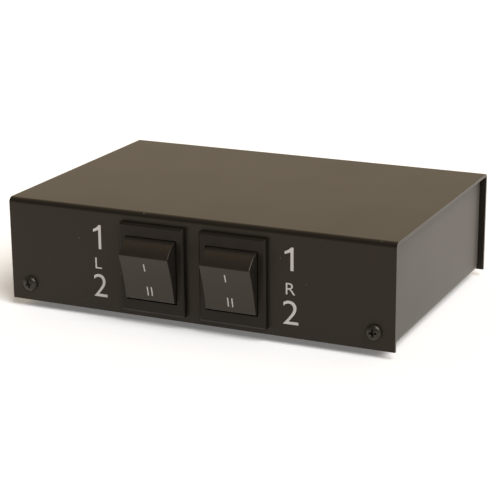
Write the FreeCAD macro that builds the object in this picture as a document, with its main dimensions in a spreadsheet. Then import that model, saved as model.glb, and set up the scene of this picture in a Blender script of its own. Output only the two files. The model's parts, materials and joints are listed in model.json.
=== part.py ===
import FreeCAD, Part
import math
import os
import re
import Sketcher

# A speaker selector: a folded steel box with two double-pole rocker switches in its
# front and twelve binding posts on its rear, six for each stereo channel.
# Millimetres. X runs right along the front, Y runs from front to rear, Z runs up.
# The origin is on the ground, under the middle of the whole object.
# Every piece is drawn from the outer face of the front panel (Y = 0), the middle of
# the case (X = 0) and the lower edge of the cover (Z = 0), and then moved there.

doc = FreeCAD.newDocument("speaker_selector")
sheet = doc.addObject("Spreadsheet::Sheet", "Sizes")

sizes = {
    # Case: cover and base tray, both folded from one sheet thickness
    "case_width": 152,
    "case_depth": 103.6,
    "case_height": 39,
    "plate": 1.2,
    "bend_radius": 2,
    "side_inset": 2,
    "fold_gap": 0.3,
    "flange_width": 10,
    "flange_bottom": 2.6,
    # Screws and feet
    "case_screw_inset": 7.7,
    "case_screw_height": 6.5,
    "screw_radius": 1.5,
    "screw_hole_radius": 1.7,
    "screw_head_radius": 2.9,
    "screw_head_height": 1.8,
    "screw_head_chamfer": 0.8,
    "screw_length": 7,
    "foot_radius": 5,
    "foot_height": 3,
    "foot_chamfer": 0.6,
    "foot_inset_x": 16,
    "foot_inset_y": 17,
    # Rocker switches
    "switch_spread": 31.8,
    "switch_height": 18.75,
    "bezel_side": 2,
    "bezel_end": 1.6,
    "bezel_proud": 2.3,
    "bezel_edge": 0.6,
    "body_side_wall": 0.8,
    "body_end_wall": 2.3,
    "body_depth": 22,
    "cutout_gap": 0.2,
    "snap_width": 7,
    "snap_rise": 0.9,
    "snap_length": 5,
    "mouth_width": 20.2,
    "floor_thick": 2,
    "divider_thick": 1,
    "divider_depth": 11,
    # Rocker, with its pivot behind the outer face of the panel
    "pivot_depth": 2,
    "rocker_radius": 12.3,
    "rocker_side_gap": 0.35,
    "rocker_end_gap": 0.3,
    "rocker_wall": 1.4,
    "cheek_thick": 1.2,
    "cheek_radius": 3.4,
    "rocker_tilt": 16,
    "ridge_angle": 47,
    "skirt_angle": 95,
    "face_hollow": 0.45,
    "ridge_round": 0.6,
    "trunnion_radius": 1.8,
    "trunnion_fit": 0.05,
    "trunnion_length": 1,
    "sleeve_radius": 2.4,
    "sleeve_depth": 3,
    "sleeve_root": 0.5,
    # Plungers and see-saw contact levers, one of each for each pole
    "pole_spread": 10.6,
    "plunger_radius": 1.6,
    "plunger_fit": 0.05,
    "plunger_reach": 12.5,
    "plunger_length": 12,
    "plunger_chamfer": 0.9,
    "spring_wall": 0.4,
    "lever_width": 5,
    "lever_thick": 1,
    "lever_tilt": 7,
    "lever_end_gap": 1.6,
    "contact_margin": 1,
    "contact_radius": 1.5,
    "contact_height": 0.8,
    "moving_gap": 0.05,
    # Blades: the tabs of a quick-connect terminal
    "blade_width": 6.3,
    "blade_thick": 0.8,
    "tab_reach": 31,
    "slot_gap": 0.1,
    "connector_width": 7.5,
    "connector_length": 11,
    "connector_height": 3,
    "connector_overlap": 7,
    # Terminal board on the rear
    "board_thick": 2.4,
    "window_margin_x": 7.5,
    "window_margin_z": 6.25,
    "board_screw_margin": 11,
    "board_end": 3.5,
    "board_lap": 2.25,
    "small_nut_radius": 3.18,
    "small_nut_height": 2.4,
    # Binding posts
    "post_pitch": 19,
    "post_row_spread": 17,
    "post_radius": 3,
    "post_hole_gap": 0.1,
    "post_tail": 9,
    "socket_radius": 2,
    "socket_depth": 14,
    "shoulder_rim": 1.9,
    "shoulder_thick": 1.2,
    "washer_rim": 2,
    "washer_thick": 1,
    "cap_wall": 2.6,
    "cap_length": 14,
    "cap_recess": 0.5,
    "thread_fit": 0.05,
    "post_nut_rim": 2.77,
    "post_nut_height": 4,
    "tag_rim": 1.6,
    "tag_width": 3.6,
    "tag_thick": 0.6,
    "tag_end": 1.1,
    # Hook-up wire
    "wire_radius": 0.9,
    "wire_bend": 5,
    "wire_gap": 0.4,
    "wire_front_lead": 8,
    "wire_rear_lead": 10,
    # How far a cutting tool runs past the piece that it cuts
    "cut_past": 1,
}
for row, (alias, number) in enumerate(sizes.items(), 1):
    sheet.set("A%d" % row, alias)
    sheet.set("B%d" % row, str(number))
    sheet.setAlias("B%d" % row, alias)
doc.recompute()


def named(text):
    """Point each size in an expression at its cell in the sheet."""
    def cell(match):
        word = match.group(0)
        return "Sizes." + word if word in sizes else word
    return re.sub(r"[a-z][a-z0-9_]*", cell, text)


def value(text):
    """Work out an expression of the sheet's sizes as a number."""
    result = sheet.evalExpression(named(text))
    return float(getattr(result, "Value", result))


def bind(item, **expressions):
    for prop, text in expressions.items():
        item.setExpression(prop, named(text))
    return item


def move(item, x, y, z):
    for letter, text in zip("xyz", (x, y, z)):
        item.setExpression("Placement.Base." + letter, named(text))
    return item


def tilt(item, angle):
    """Turn a piece about the X axis of its own drawing."""
    item.Placement.Rotation = FreeCAD.Rotation(FreeCAD.Vector(1, 0, 0), value(angle))
    item.setExpression("Placement.Rotation.Angle", named(angle))
    return item


# Small round pieces that repeat, and the holes for them, are drawn with a few flat sides
wire_sides = 6
small_sides = 8
head_sides = 12

# Two places nearer to each other than this are taken as one
same_place = 1e-4

sides = (("left", -1), ("right", 1))

# Turns that lay a shape drawn along Z down along another axis
lay_down = {
    "Z": FreeCAD.Rotation(),
    "Y": FreeCAD.Rotation(FreeCAD.Vector(1, 0, 0), -90),
    "-Y": FreeCAD.Rotation(FreeCAD.Vector(1, 0, 0), 90),
    "-Z": FreeCAD.Rotation(FreeCAD.Vector(1, 0, 0), 180),
    "X": FreeCAD.Rotation(FreeCAD.Vector(0, 1, 0), 90),
}


def block(name, x, y, z):
    """A box between two bounds along each axis."""
    item = doc.addObject("Part::Box", name)
    bind(item, Length="(%s) - (%s)" % (x[1], x[0]))
    bind(item, Width="(%s) - (%s)" % (y[1], y[0]))
    bind(item, Height="(%s) - (%s)" % (z[1], z[0]))
    return move(item, x[0], y[0], z[0])


def rod(name, radius, length, x, y, z, axis="Y"):
    item = doc.addObject("Part::Cylinder", name)
    item.Placement.Rotation = lay_down[axis]
    bind(item, Radius=radius, Height=length)
    return move(item, x, y, z)


def prism(name, sides, radius, length, x, y, z, axis="Y"):
    """A straight prism; the radius reaches its corners."""
    item = doc.addObject("Part::Prism", name)
    item.Polygon = sides
    item.Placement.Rotation = lay_down[axis]
    bind(item, Circumradius=radius, Height=length)
    return move(item, x, y, z)


def chamfer_far_end(name, stem, width):
    """Break the edges round the far end of a prism."""
    doc.recompute()
    to_drawing = stem.Placement.inverse()
    far = stem.Height.Value
    edges = [i + 1 for i, edge in enumerate(stem.Shape.Edges)
             if all(abs(to_drawing.multVec(corner.Point).z - far) < same_place for corner in edge.Vertexes)]
    item = doc.addObject("Part::Chamfer", name)
    item.Base = stem
    item.Edges = [(edge, value(width), value(width)) for edge in edges]
    return item


def fuse(name, pieces):
    item = doc.addObject("Part::MultiFuse", name)
    item.Shapes = pieces
    item.Refine = True
    return item


def group(name, pieces):
    """Separate solids kept in one named piece."""
    item = doc.addObject("Part::Compound", name)
    item.Links = pieces
    return item


def cut(name, base, tools):
    item = doc.addObject("Part::Cut", name)
    item.Base = base
    item.Tool = tools[0] if len(tools) == 1 else group(name + "_tools", tools)
    item.Refine = True
    return item


def common(name, first, second):
    item = doc.addObject("Part::Common", name)
    item.Base = first
    item.Tool = second
    return item


def draw_outline(body, plane, corners, name):
    """A closed sketch with every corner held at its place. A corner is (a, b), or
    (a, b, radius) where two lines along the sketch's axes meet in a round."""
    sketch = body.newObject("Sketcher::SketchObject", name)
    origin_plane = next(f for f in body.Origin.OriginFeatures if f.Role == plane)
    sketch.AttachmentSupport = [(origin_plane, "")]
    sketch.MapMode = "FlatFace"
    count = len(corners)

    def beside(corner, other, radius):
        """The place on the way to another corner where the round begins."""
        place = []
        for here, there in zip(corner[:2], other[:2]):
            step = value(there) - value(here)
            sign = 0 if abs(step) < same_place else math.copysign(1, step)
            place.append("(%s) + (%d) * (%s)" % (here, sign, radius))
        return tuple(place)

    def point(place):
        return FreeCAD.Vector(value(place[0]), value(place[1]), 0)

    def hold(geometry, end, place):
        for kind, text in zip(("DistanceX", "DistanceY"), place):
            held = Sketcher.Constraint(kind, -1, 1, geometry, end, value(text))
            number = sketch.addConstraint(held)
            sketch.setExpression("Constraints[%d]" % number, named(text))

    ends = []
    for i, corner in enumerate(corners):
        if len(corner) == 2:
            ends.append((corner, corner))
        else:
            before = beside(corner, corners[i - 1], corner[2])
            after = beside(corner, corners[(i + 1) % count], corner[2])
            ends.append((before, after))
    lines = []
    for i in range(count):
        start = ends[i][1]
        stop = ends[(i + 1) % count][0]
        line = sketch.addGeometry(Part.LineSegment(point(start), point(stop)))
        hold(line, 1, start)
        if len(corners[(i + 1) % count]) == 3:
            hold(line, 2, stop)
        lines.append(line)
    for i, corner in enumerate(corners):
        before, after = lines[i - 1], lines[i]
        if len(corner) == 2:
            sketch.addConstraint(Sketcher.Constraint("Coincident", before, 2, after, 1))
            continue
        first, last = point(ends[i][0]), point(ends[i][1])
        centre = first + last - point(corner)
        angles = [math.atan2(p.y - centre.y, p.x - centre.x) for p in (first, last)]
        forward = (angles[1] - angles[0]) % (2 * math.pi) < math.pi
        if not forward:
            angles.reverse()
        circle = Part.Circle(centre, FreeCAD.Vector(0, 0, 1), value(corner[2]))
        arc = sketch.addGeometry(Part.ArcOfCircle(circle, angles[0], angles[1]))
        near, far = (1, 2) if forward else (2, 1)
        sketch.addConstraint(Sketcher.Constraint("Coincident", before, 2, arc, near))
        sketch.addConstraint(Sketcher.Constraint("Coincident", after, 1, arc, far))
        number = sketch.addConstraint(Sketcher.Constraint("Radius", arc, value(corner[2])))
        sketch.setExpression("Constraints[%d]" % number, named(corner[2]))
    return sketch


def padded(name, plane, corners, length, middle=True, flip=False):
    """A body padded from one outline, both ways from its plane or one way only."""
    body = doc.addObject("PartDesign::Body", name)
    sketch = draw_outline(body, plane, corners, name + "_outline")
    pad = body.newObject("PartDesign::Pad", name + "_pad")
    pad.Profile = sketch
    pad.Midplane = middle
    pad.Reversed = flip
    bind(pad, Length=length)
    return body


# Where the drawing's front panel goes: the middle between the rocker that stands out
# at the front and the ends of the post caps is at Y = 0, and the feet are on Z = 0.
front_reach = "(rocker_radius * cos(ridge_angle - rocker_tilt) - pivot_depth)"
board_face = "(case_depth + board_thick)"
washer_face = "(%s + shoulder_thick + moving_gap)" % board_face
cap_face = "(%s + washer_thick + moving_gap)" % washer_face
rear_reach = "(%s + cap_length)" % cap_face
front_place = "((%s - %s) / 2)" % (front_reach, rear_reach)

nodes = []


def finish_piece(item, label, x="0", y="0", z="0"):
    """Name a piece and move it from the drawing's place to its place in the object."""
    item.Label = label
    move(item, x, "(%s) + %s" % (y, front_place), "(%s) + foot_height" % z)
    nodes.append(item)
    return item


# Case

side_face = "(case_width / 2 - side_inset)"
tray_top = "(case_height - plate - fold_gap)"
screw_x = "(case_width / 2 - case_screw_inset)"

# The openings in front and rear are cut for the switch bodies and for the posts
swing_radius = "(rocker_radius + rocker_end_gap)"
body_half_width = "(mouth_width / 2 + body_side_wall)"
body_half_height = "(%s + body_end_wall)" % swing_radius
board_middle = "(case_height / 2)"
window_half_width = "(2.5 * post_pitch + window_margin_x)"
window_half_height = "(post_row_spread / 2 + window_margin_z)"
board_screw_x = "(2.5 * post_pitch + board_screw_margin)"


def make_cover():
    """Front, top and rear in one folded sheet, open below and at both sides."""
    inner_round = "bend_radius - plate"
    inner_top = "case_height - plate"
    fold = padded("cover_sheet", "YZ_Plane", [
        ("0", "0"),
        ("0", "case_height", "bend_radius"),
        ("case_depth", "case_height", "bend_radius"),
        ("case_depth", "0"),
        ("case_depth - plate", "0"),
        ("case_depth - plate", inner_top, inner_round),
        ("plate", inner_top, inner_round),
        ("plate", "0"),
    ], "case_width")
    holes = []
    for side in (-1, 1):
        middle = "%d * switch_spread / 2" % side
        half = "(%s + cutout_gap)" % body_half_width
        rise = "(%s + cutout_gap)" % body_half_height
        holes.append(block("switch_cutout", ("%s - %s" % (middle, half), "%s + %s" % (middle, half)),
                           ("-plate", "2 * plate"),
                           ("switch_height - " + rise, "switch_height + " + rise)))
        for y in ("-plate", "case_depth - 2 * plate"):
            holes.append(prism("case_screw_hole", small_sides, "screw_hole_radius", "3 * plate",
                               "%d * %s" % (side, screw_x), y, "case_screw_height"))
        holes.append(prism("board_screw_hole", small_sides, "screw_hole_radius", "3 * plate",
                           "%d * %s" % (side, board_screw_x), "case_depth - 2 * plate", board_middle))
    holes.append(block("terminal_window", ("-" + window_half_width, window_half_width),
                       ("case_depth - 2 * plate", "case_depth + plate"),
                       ("%s - %s" % (board_middle, window_half_height),
                        "%s + %s" % (board_middle, window_half_height))))
    finish_piece(cut("cover_cut", fold, holes), "cover")


def make_base_tray():
    """Floor and both sides in one sheet; the sides fold in behind front and rear."""
    inner_round = "bend_radius - plate"
    inner_side = "case_width / 2 - side_inset - plate"
    channel = padded("tray_channel", "XZ_Plane", [
        ("-" + side_face, tray_top),
        ("-" + side_face, "0", "bend_radius"),
        (side_face, "0", "bend_radius"),
        (side_face, tray_top),
        (inner_side, tray_top),
        (inner_side, "plate", inner_round),
        ("-(%s)" % inner_side, "plate", inner_round),
        ("-(%s)" % inner_side, tray_top),
    ], "case_depth - 2 * plate - 2 * bend_radius", middle=False, flip=True)
    move(channel, "0", "plate + bend_radius", "0")
    floor_side = side_face + " - bend_radius - fold_gap"
    floor = block("tray_floor", ("-(%s)" % floor_side, floor_side),
                  ("plate + fold_gap", "case_depth - plate - fold_gap"), ("0", "plate"))
    flanged = []
    holes = []
    for side in (-1, 1):
        def across(text):
            return "%d * (%s)" % (side, text)
        tip = across(side_face + " - flange_width")
        outer = across(side_face)
        inner = across(inner_side)
        rear = "case_depth - plate"
        flange = padded("tray_flanges", "XY_Plane", [
            (tip, "plate"),
            (outer, "plate", "bend_radius"),
            (outer, rear, "bend_radius"),
            (tip, rear),
            (tip, rear + " - plate"),
            (inner, rear + " - plate", inner_round),
            (inner, "2 * plate", inner_round),
            (tip, "2 * plate"),
        ], "case_height - bend_radius - fold_gap - flange_bottom", middle=False)
        move(flange, "0", "0", "flange_bottom")
        flanged.append(flange)
        for y in ("plate / 2", "case_depth - 2.5 * plate"):
            holes.append(prism("flange_hole", small_sides, "screw_radius", "2 * plate",
                               across(screw_x), y, "case_screw_height"))
    tray = fuse("tray_folded", [channel, floor] + flanged)
    finish_piece(cut("tray_cut", tray, holes), "base_tray")


def pan_screw(name, x, y, z, axis, length):
    """A screw with its head from y along the axis and its shank the other way."""
    back = "-Y" if axis == "Y" else "Y"
    shank = prism(name + "_shank", small_sides, "screw_radius", length, x, y, z, back)
    head = prism(name + "_head", head_sides, "screw_head_radius", "screw_head_height", x, y, z, axis)
    return fuse(name, [shank, chamfer_far_end(name + "_crown", head, "screw_head_chamfer")])


def make_case_screws():
    screws = []
    for side in (-1, 1):
        x = "%d * %s" % (side, screw_x)
        screws.append(pan_screw("front_screw", x, "0", "case_screw_height", "-Y", "screw_length"))
        screws.append(pan_screw("rear_screw", x, "case_depth", "case_screw_height", "Y", "screw_length"))
    finish_piece(group("case_screw_group", screws), "case_screws")


def make_feet():
    feet = []
    for side in (-1, 1):
        for y in ("foot_inset_y", "case_depth - foot_inset_y"):
            foot = prism("foot_pad", head_sides, "foot_radius", "foot_height",
                         "%d * (case_width / 2 - foot_inset_x)" % side, y, "0", "-Z")
            feet.append(chamfer_far_end("foot", foot, "foot_chamfer"))
    finish_piece(group("foot_group", feet), "rubber_feet")


# Rocker switches. The inner works of a switch are drawn about its rocker's pivot or its
# levers' fulcrum, as the piece stands when it is level, and then tilted to rest.

rocker_width = "(mouth_width - 2 * rocker_side_gap)"
ridge_out = "(rocker_radius * cos(ridge_angle))"
ridge_up = "(rocker_radius * sin(ridge_angle))"
skirt_out = "(rocker_radius * cos(skirt_angle))"
under_face = "(%s - face_hollow - rocker_wall)" % ridge_out

# At rest one edge of the plunger's tip bears on the lever; the lever rocks on a fulcrum
# just behind it, and its lowered end holds its contact on the fixed one.
tip_radius = "(plunger_radius - plunger_chamfer / cos(%g))" % (180 / small_sides)
tip_depth = "(pivot_depth + plunger_reach * cos(rocker_tilt) + %s * sin(rocker_tilt))" % tip_radius
tip_height = "(plunger_reach * sin(rocker_tilt) - %s * cos(rocker_tilt))" % tip_radius
fulcrum_depth = ("(%s - %s * tan(lever_tilt) + lever_thick / cos(lever_tilt) + moving_gap)"
                 % (tip_depth, tip_height))
lever_half = "(%s - lever_end_gap)" % swing_radius
blade_row = "(%s - contact_margin)" % lever_half
contact_offset = "(%s - contact_radius)" % blade_row
contact_plane = ("(%s + contact_height * cos(lever_tilt) + %s * sin(lever_tilt) + moving_gap)"
                 % (fulcrum_depth, blade_row))


def blade_places(switch_x):
    """The two poles and three rows of a switch's tabs: (pole, row, x, z)."""
    for pole in (-1, 1):
        for row in (1, 0, -1):
            yield (pole, row, "(%s + %d * pole_spread / 2)" % (switch_x, pole),
                   "(switch_height + %d * %s)" % (row, blade_row))


def slot_around(x, y, z, gap):
    """The block that a blade fills, with a gap all round its section."""
    return block("blade_slot",
                 ("%s - blade_width / 2 - %s" % (x, gap), "%s + blade_width / 2 + %s" % (x, gap)), y,
                 ("%s - blade_thick / 2 - %s" % (z, gap), "%s + blade_thick / 2 + %s" % (z, gap)))


def make_housing(side, switch_x):
    """Bezel and body in one moulding, with snaps that hold it in the panel."""
    half = "(%s + bezel_side)" % body_half_width
    rise = "(%s + bezel_end)" % body_half_height
    bezel = padded("bezel", "XZ_Plane", [
        ("-" + half, "-" + rise),
        ("-" + half, rise),
        (half, rise),
        (half, "-" + rise),
    ], "bezel_proud", middle=False)
    doc.recompute()
    pad = bezel.Tip
    front = -sizes["bezel_proud"]
    rim = ["Edge%d" % (i + 1) for i, edge in enumerate(pad.Shape.Edges)
           if abs(edge.BoundBox.YMax - front) < same_place]
    soft = bezel.newObject("PartDesign::Chamfer", "bezel_edge")
    soft.Base = (pad, rim)
    bind(soft, Size="bezel_edge")
    shell = block("switch_body", ("-" + body_half_width, body_half_width), ("0", "body_depth"),
                  ("-" + body_half_height, body_half_height))
    pieces = [bezel, shell]
    for up in (-1, 1):
        wall = "%d * %s" % (up, body_half_height)
        snap = padded("snap", "YZ_Plane", [
            ("plate + moving_gap", wall),
            ("plate + moving_gap", "%s + %d * snap_rise" % (wall, up)),
            ("plate + moving_gap + snap_length", wall),
        ], "snap_width")
        pieces.append(snap)
    solid = fuse("switch_solid", pieces)
    # The rocker's ends sweep an arc, so the mouth's two end walls are an arc as well
    inner_depth = "body_depth - floor_thick"
    divider_front = inner_depth + " - divider_depth"
    drum = rod("mouth_drum", swing_radius, "mouth_width", "-mouth_width / 2", "pivot_depth", "0", "X")
    front_half = block("mouth_slab", ("-mouth_width / 2", "mouth_width / 2"),
                       ("pivot_depth - " + swing_radius, "pivot_depth"), ("-" + swing_radius, swing_radius))
    hollows = [
        common("mouth", drum, front_half),
        block("swing_room", ("-mouth_width / 2", "mouth_width / 2"), ("pivot_depth", divider_front),
              ("-" + swing_radius, swing_radius)),
        rod("pivot_hole", "trunnion_radius + trunnion_fit", "2 * (%s + cut_past)" % body_half_width,
            "-%s - cut_past" % body_half_width, "pivot_depth", "0", "X"),
    ]
    for pole in (-1, 1):
        near = "%d * divider_thick / 2" % pole
        far = "%d * mouth_width / 2" % pole
        hollows.append(block("pole_chamber", (near, far) if pole > 0 else (far, near),
                             (divider_front, inner_depth),
                             ("-" + swing_radius, swing_radius)))
    hollow = fuse("switch_hollow", hollows)
    moulding = cut("switch_moulding", solid, [hollow])
    move(moulding, switch_x, "0", "switch_height")
    slots = [slot_around(x, (inner_depth + " - cut_past", "body_depth + cut_past"), z, "slot_gap")
             for pole, row, x, z in blade_places(switch_x)]
    finish_piece(cut("switch_housing", moulding, slots), side + "_switch_housing")


def make_rocker(side, switch_x):
    """A hollow cap whose two ends are arcs about its pivot, with a trunnion on each
    cheek and a sleeve for each plunger."""
    half = "%s / 2" % rocker_width
    drum = rod("rocker_drum", "rocker_radius", rocker_width, "-" + half, "0", "0", "X")
    slab = block("rocker_slab", ("-" + half, half), ("-" + ridge_out, "-" + skirt_out),
                 ("-rocker_radius", "rocker_radius"))
    outer = common("rocker_outer", drum, slab)
    dish_radius = "((%s ^ 2 + face_hollow ^ 2) / (2 * face_hollow))" % ridge_up
    dish = rod("rocker_dish", dish_radius, rocker_width + " + 2 * cut_past", "-%s - cut_past" % half,
               "-(%s - face_hollow + %s)" % (ridge_out, dish_radius), "0", "X")
    dished = cut("rocker_dished", outer, [dish])
    doc.recompute()
    ridge_height = value(ridge_up)
    ridges = []
    for i, edge in enumerate(dished.Shape.Edges):
        box = edge.BoundBox
        along = box.XLength > value(rocker_width) / 2
        if along and abs(abs(box.Center.z) - ridge_height) < same_place:
            ridges.append((i + 1, sizes["ridge_round"], sizes["ridge_round"]))
    soft = doc.addObject("Part::Fillet", "rocker_ridges")
    soft.Base = dished
    soft.Edges = ridges
    inner_half = "%s / 2 - cheek_thick" % rocker_width
    room_drum = rod("room_drum", "rocker_radius - rocker_wall", "2 * (%s)" % inner_half,
                    "-(%s)" % inner_half, "0", "0", "X")
    room_slab = block("room_slab", ("-(%s)" % inner_half, inner_half),
                      ("-" + under_face, "rocker_radius"), ("-rocker_radius", "rocker_radius"))
    shell = cut("rocker_shell", soft, [common("rocker_room", room_drum, room_slab)])
    pieces = [shell]
    bores = []
    for way in (-1, 1):
        outside = "%d * %s / 2" % (way, rocker_width)
        inside = "%d * (%s)" % (way, inner_half)
        low = inside if way > 0 else outside
        pieces.append(prism("cheek_end", small_sides, "cheek_radius", "cheek_thick", low, "0", "0", "X"))
        start = low if way > 0 else outside + " - trunnion_length"
        pieces.append(rod("trunnion", "trunnion_radius", "cheek_thick + trunnion_length",
                          start, "0", "0", "X"))
        pole_x = "%d * pole_spread / 2" % way
        root = "%s + sleeve_root" % under_face
        pieces.append(prism("sleeve", small_sides, "sleeve_radius", root + " + sleeve_depth",
                            pole_x, "-(%s)" % root, "0"))
        bores.append(prism("sleeve_bore", small_sides, "plunger_radius + plunger_fit",
                           under_face + " + sleeve_depth + cut_past", pole_x, "-" + under_face, "0"))
    rocker = cut("rocker", fuse("rocker_joined", pieces), bores)
    finish_piece(tilt(rocker, "rocker_tilt"), side + "_rocker", switch_x, "pivot_depth", "switch_height")

    plungers = []
    springs = []
    for pole in (-1, 1):
        pole_x = "%d * pole_spread / 2" % pole
        plunger_top = "plunger_reach - plunger_length"
        stem = prism("plunger_stem", small_sides, "plunger_radius", "plunger_length",
                     pole_x, plunger_top, "0")
        plungers.append(chamfer_far_end("plunger", stem, "plunger_chamfer"))
        spring_length = "%s + %s" % (under_face, plunger_top)
        coil = prism("spring_outside", small_sides, "plunger_radius", spring_length,
                     pole_x, "-" + under_face, "0")
        core = prism("spring_inside", small_sides, "plunger_radius - spring_wall", spring_length,
                     pole_x, "-" + under_face, "0")
        springs.append(cut("plunger_spring", coil, [core]))
    for pieces, name in ((plungers, "_plungers"), (springs, "_plunger_springs")):
        riding = tilt(group(side + name + "_group", pieces), "rocker_tilt")
        finish_piece(riding, side + name, switch_x, "pivot_depth", "switch_height")


def make_levers(side, way, switch_x):
    """A see-saw lever for each pole, with a contact rivet at each end and a round
    groove across its back that rocks on the nose of the common blade."""
    for pole, polarity in ((way, "plus"), (-way, "minus")):
        strip = block("lever_strip", ("-lever_width / 2", "lever_width / 2"), ("-lever_thick", "0"),
                      ("-" + lever_half, lever_half))
        groove = rod("lever_groove", "blade_thick / 2 + moving_gap", "lever_width + 2 * cut_past",
                     "-lever_width / 2 - cut_past", "0", "0", "X")
        rivets = [prism("moving_rivet", small_sides, "contact_radius", "contact_height",
                        "0", "0", "%d * %s" % (end, contact_offset)) for end in (-1, 1)]
        for item, name in ((cut("lever", strip, [groove]), "lever"),
                           (group("rivets", rivets), "moving_contacts")):
            finish_piece(tilt(item, "-lever_tilt"), "%s_%s_%s" % (side, polarity, name),
                         "%s + %d * pole_spread / 2" % (switch_x, pole), fulcrum_depth, "switch_height")


def make_blades(side, switch_x):
    """A common blade with a round nose behind each lever and a bent throw blade at each
    of its ends."""
    commons = []
    throws = []
    rivets = []
    for pole, row, x, z in blade_places(switch_x):
        if row == 0:
            strip = slot_around(x, (fulcrum_depth, "tab_reach"), z, "0")
            nose = rod("blade_nose", "blade_thick / 2", "blade_width",
                       "%s - blade_width / 2" % x, fulcrum_depth, z, "X")
            commons.append(fuse("common_blade", [strip, nose]))
            continue
        head = contact_plane + " + contact_height"
        leg = slot_around(x, (head, "tab_reach"), z, "0")
        inner_end = "switch_height + %d * (%s - contact_radius)" % (row, contact_offset)
        outer_end = "%s + %d * blade_thick / 2" % (z, row)
        plate = block("blade_head", ("%s - blade_width / 2" % x, "%s + blade_width / 2" % x),
                      (head, head + " + blade_thick"),
                      (inner_end, outer_end) if row > 0 else (outer_end, inner_end))
        throws.append(fuse("throw_blade", [leg, plate]))
        rivets.append(prism("fixed_rivet", small_sides, "contact_radius", "contact_height", x,
                            contact_plane, "switch_height + %d * %s" % (row, contact_offset)))
    finish_piece(group("common_blade_group", commons), side + "_common_blades")
    finish_piece(group("throw_blade_group", throws), side + "_throw_blades")
    finish_piece(group("fixed_rivet_group", rivets), side + "_fixed_contacts")


# Rear: a terminal board with two rows of six binding posts

# Columns from the outside of each side to the middle, and rows: plus above minus
columns = (("source_1", 2.5), ("source_2", 1.5), ("speaker", 0.5))
rows = (("plus", 1), ("minus", -1))

# A wire ends on its tag's tail, clear of the flat side of the post's nut
wire_offset = "((post_radius + post_nut_rim) * cos(30) + wire_radius + wire_gap)"


def post_places():
    """Each post: (name, x, z, row)."""
    for side, way in sides:
        for column, steps in columns:
            for polarity, row in rows:
                yield ("%s_%s_%s" % (side, column, polarity), "(%g * post_pitch)" % (way * steps),
                       "(%s + %d * post_row_spread / 2)" % (board_middle, row), row)


def make_terminal_board():
    half = "(%s + board_end)" % board_screw_x
    rise = "(%s + board_lap)" % window_half_height
    plate = block("board_plate", ("-" + half, half), ("case_depth", board_face),
                  ("%s - %s" % (board_middle, rise), "%s + %s" % (board_middle, rise)))
    holes = [prism("post_hole", small_sides, "post_radius + post_hole_gap", "board_thick + 2 * cut_past",
                   x, "case_depth - cut_past", z)
             for name, x, z, row in post_places()]
    screws = []
    nuts = []
    for side in (-1, 1):
        x = "%d * %s" % (side, board_screw_x)
        holes.append(prism("board_hole", small_sides, "screw_radius", "board_thick + 2 * cut_past",
                           x, "case_depth - cut_past", board_middle))
        screws.append(pan_screw("board_screw", x, board_face, board_middle, "Y", "screw_length"))
        nut = prism("board_nut", 6, "small_nut_radius", "small_nut_height",
                    x, "case_depth - plate - small_nut_height", board_middle)
        thread = prism("board_nut_thread", small_sides, "screw_radius", "small_nut_height + 2 * cut_past",
                       x, "case_depth - plate - small_nut_height - cut_past", board_middle)
        nuts.append(cut("board_nut_cut", nut, [thread]))
    finish_piece(cut("board_cut", plate, holes), "terminal_board")
    finish_piece(group("board_screw_group", screws), "board_screws")
    finish_piece(group("board_nut_group", nuts), "board_nuts")


def make_posts():
    """Hollow studs with a hexagonal shoulder on the board, nut and solder tag behind."""
    studs = []
    nuts = []
    tags = []
    stud_end = cap_face + " + cap_length - cap_recess"
    for name, x, z, row in post_places():
        stem = prism("post_stem", small_sides, "post_radius", "%s - case_depth + post_tail" % stud_end,
                     x, "case_depth - post_tail", z)
        shoulder = prism("post_shoulder", 6, "post_radius + shoulder_rim", "shoulder_thick",
                         x, board_face, z)
        socket = rod("post_socket", "socket_radius", "socket_depth + cut_past",
                     x, "%s - socket_depth" % stud_end, z)
        studs.append(cut("post_stud", fuse("post_solid", [stem, shoulder]), [socket]))
        tag_front = "case_depth - tag_thick"
        ring = prism("tag_ring", small_sides, "post_radius + tag_rim", "tag_thick", x, tag_front, z)
        tail_end = "%s - %d * (%s + tag_end)" % (z, row, wire_offset)
        tail = block("tag_tail", ("%s - tag_width / 2" % x, "%s + tag_width / 2" % x),
                     (tag_front, "case_depth"), (tail_end, z) if row > 0 else (z, tail_end))
        hole = prism("tag_hole", small_sides, "post_radius", "tag_thick + 2 * cut_past",
                     x, tag_front + " - cut_past", z)
        tags.append(cut("solder_tag", fuse("tag_solid", [ring, tail]), [hole]))
        nut = prism("post_nut_hexagon", 6, "post_radius + post_nut_rim", "post_nut_height",
                    x, tag_front + " - post_nut_height", z)
        thread = prism("post_nut_thread", small_sides, "post_radius", "post_nut_height + 2 * cut_past",
                       x, tag_front + " - post_nut_height - cut_past", z)
        nuts.append(cut("post_nut", nut, [thread]))
    finish_piece(group("post_stud_group", studs), "post_studs")
    finish_piece(group("post_nut_group", nuts), "post_nuts")
    finish_piece(group("solder_tag_group", tags), "solder_tags")


def make_caps():
    """A twelve-sided cap and a captive clamp washer on each post."""
    bore = "(post_radius + thread_fit) / cos(%g)" % (180 / small_sides)

    def ring(piece, sides_round, radius, length):
        outside = prism(piece + "_outside", sides_round, radius, length, "0", "0", "0")
        bore_tool = prism(piece + "_bore", small_sides, bore, length + " + 2 * cut_past",
                          "0", "-cut_past", "0")
        return cut(piece, outside, [bore_tool])

    for name, x, z, row in post_places():
        washer = ring("clamp_washer", small_sides, "post_radius + washer_rim", "washer_thick")
        finish_piece(washer, name + "_washer", x, washer_face, z)
        cap = ring("post_cap", head_sides, "post_radius + cap_wall", "cap_length")
        finish_piece(cap, name + "_cap", x, cap_face, z)


# Wiring

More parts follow.
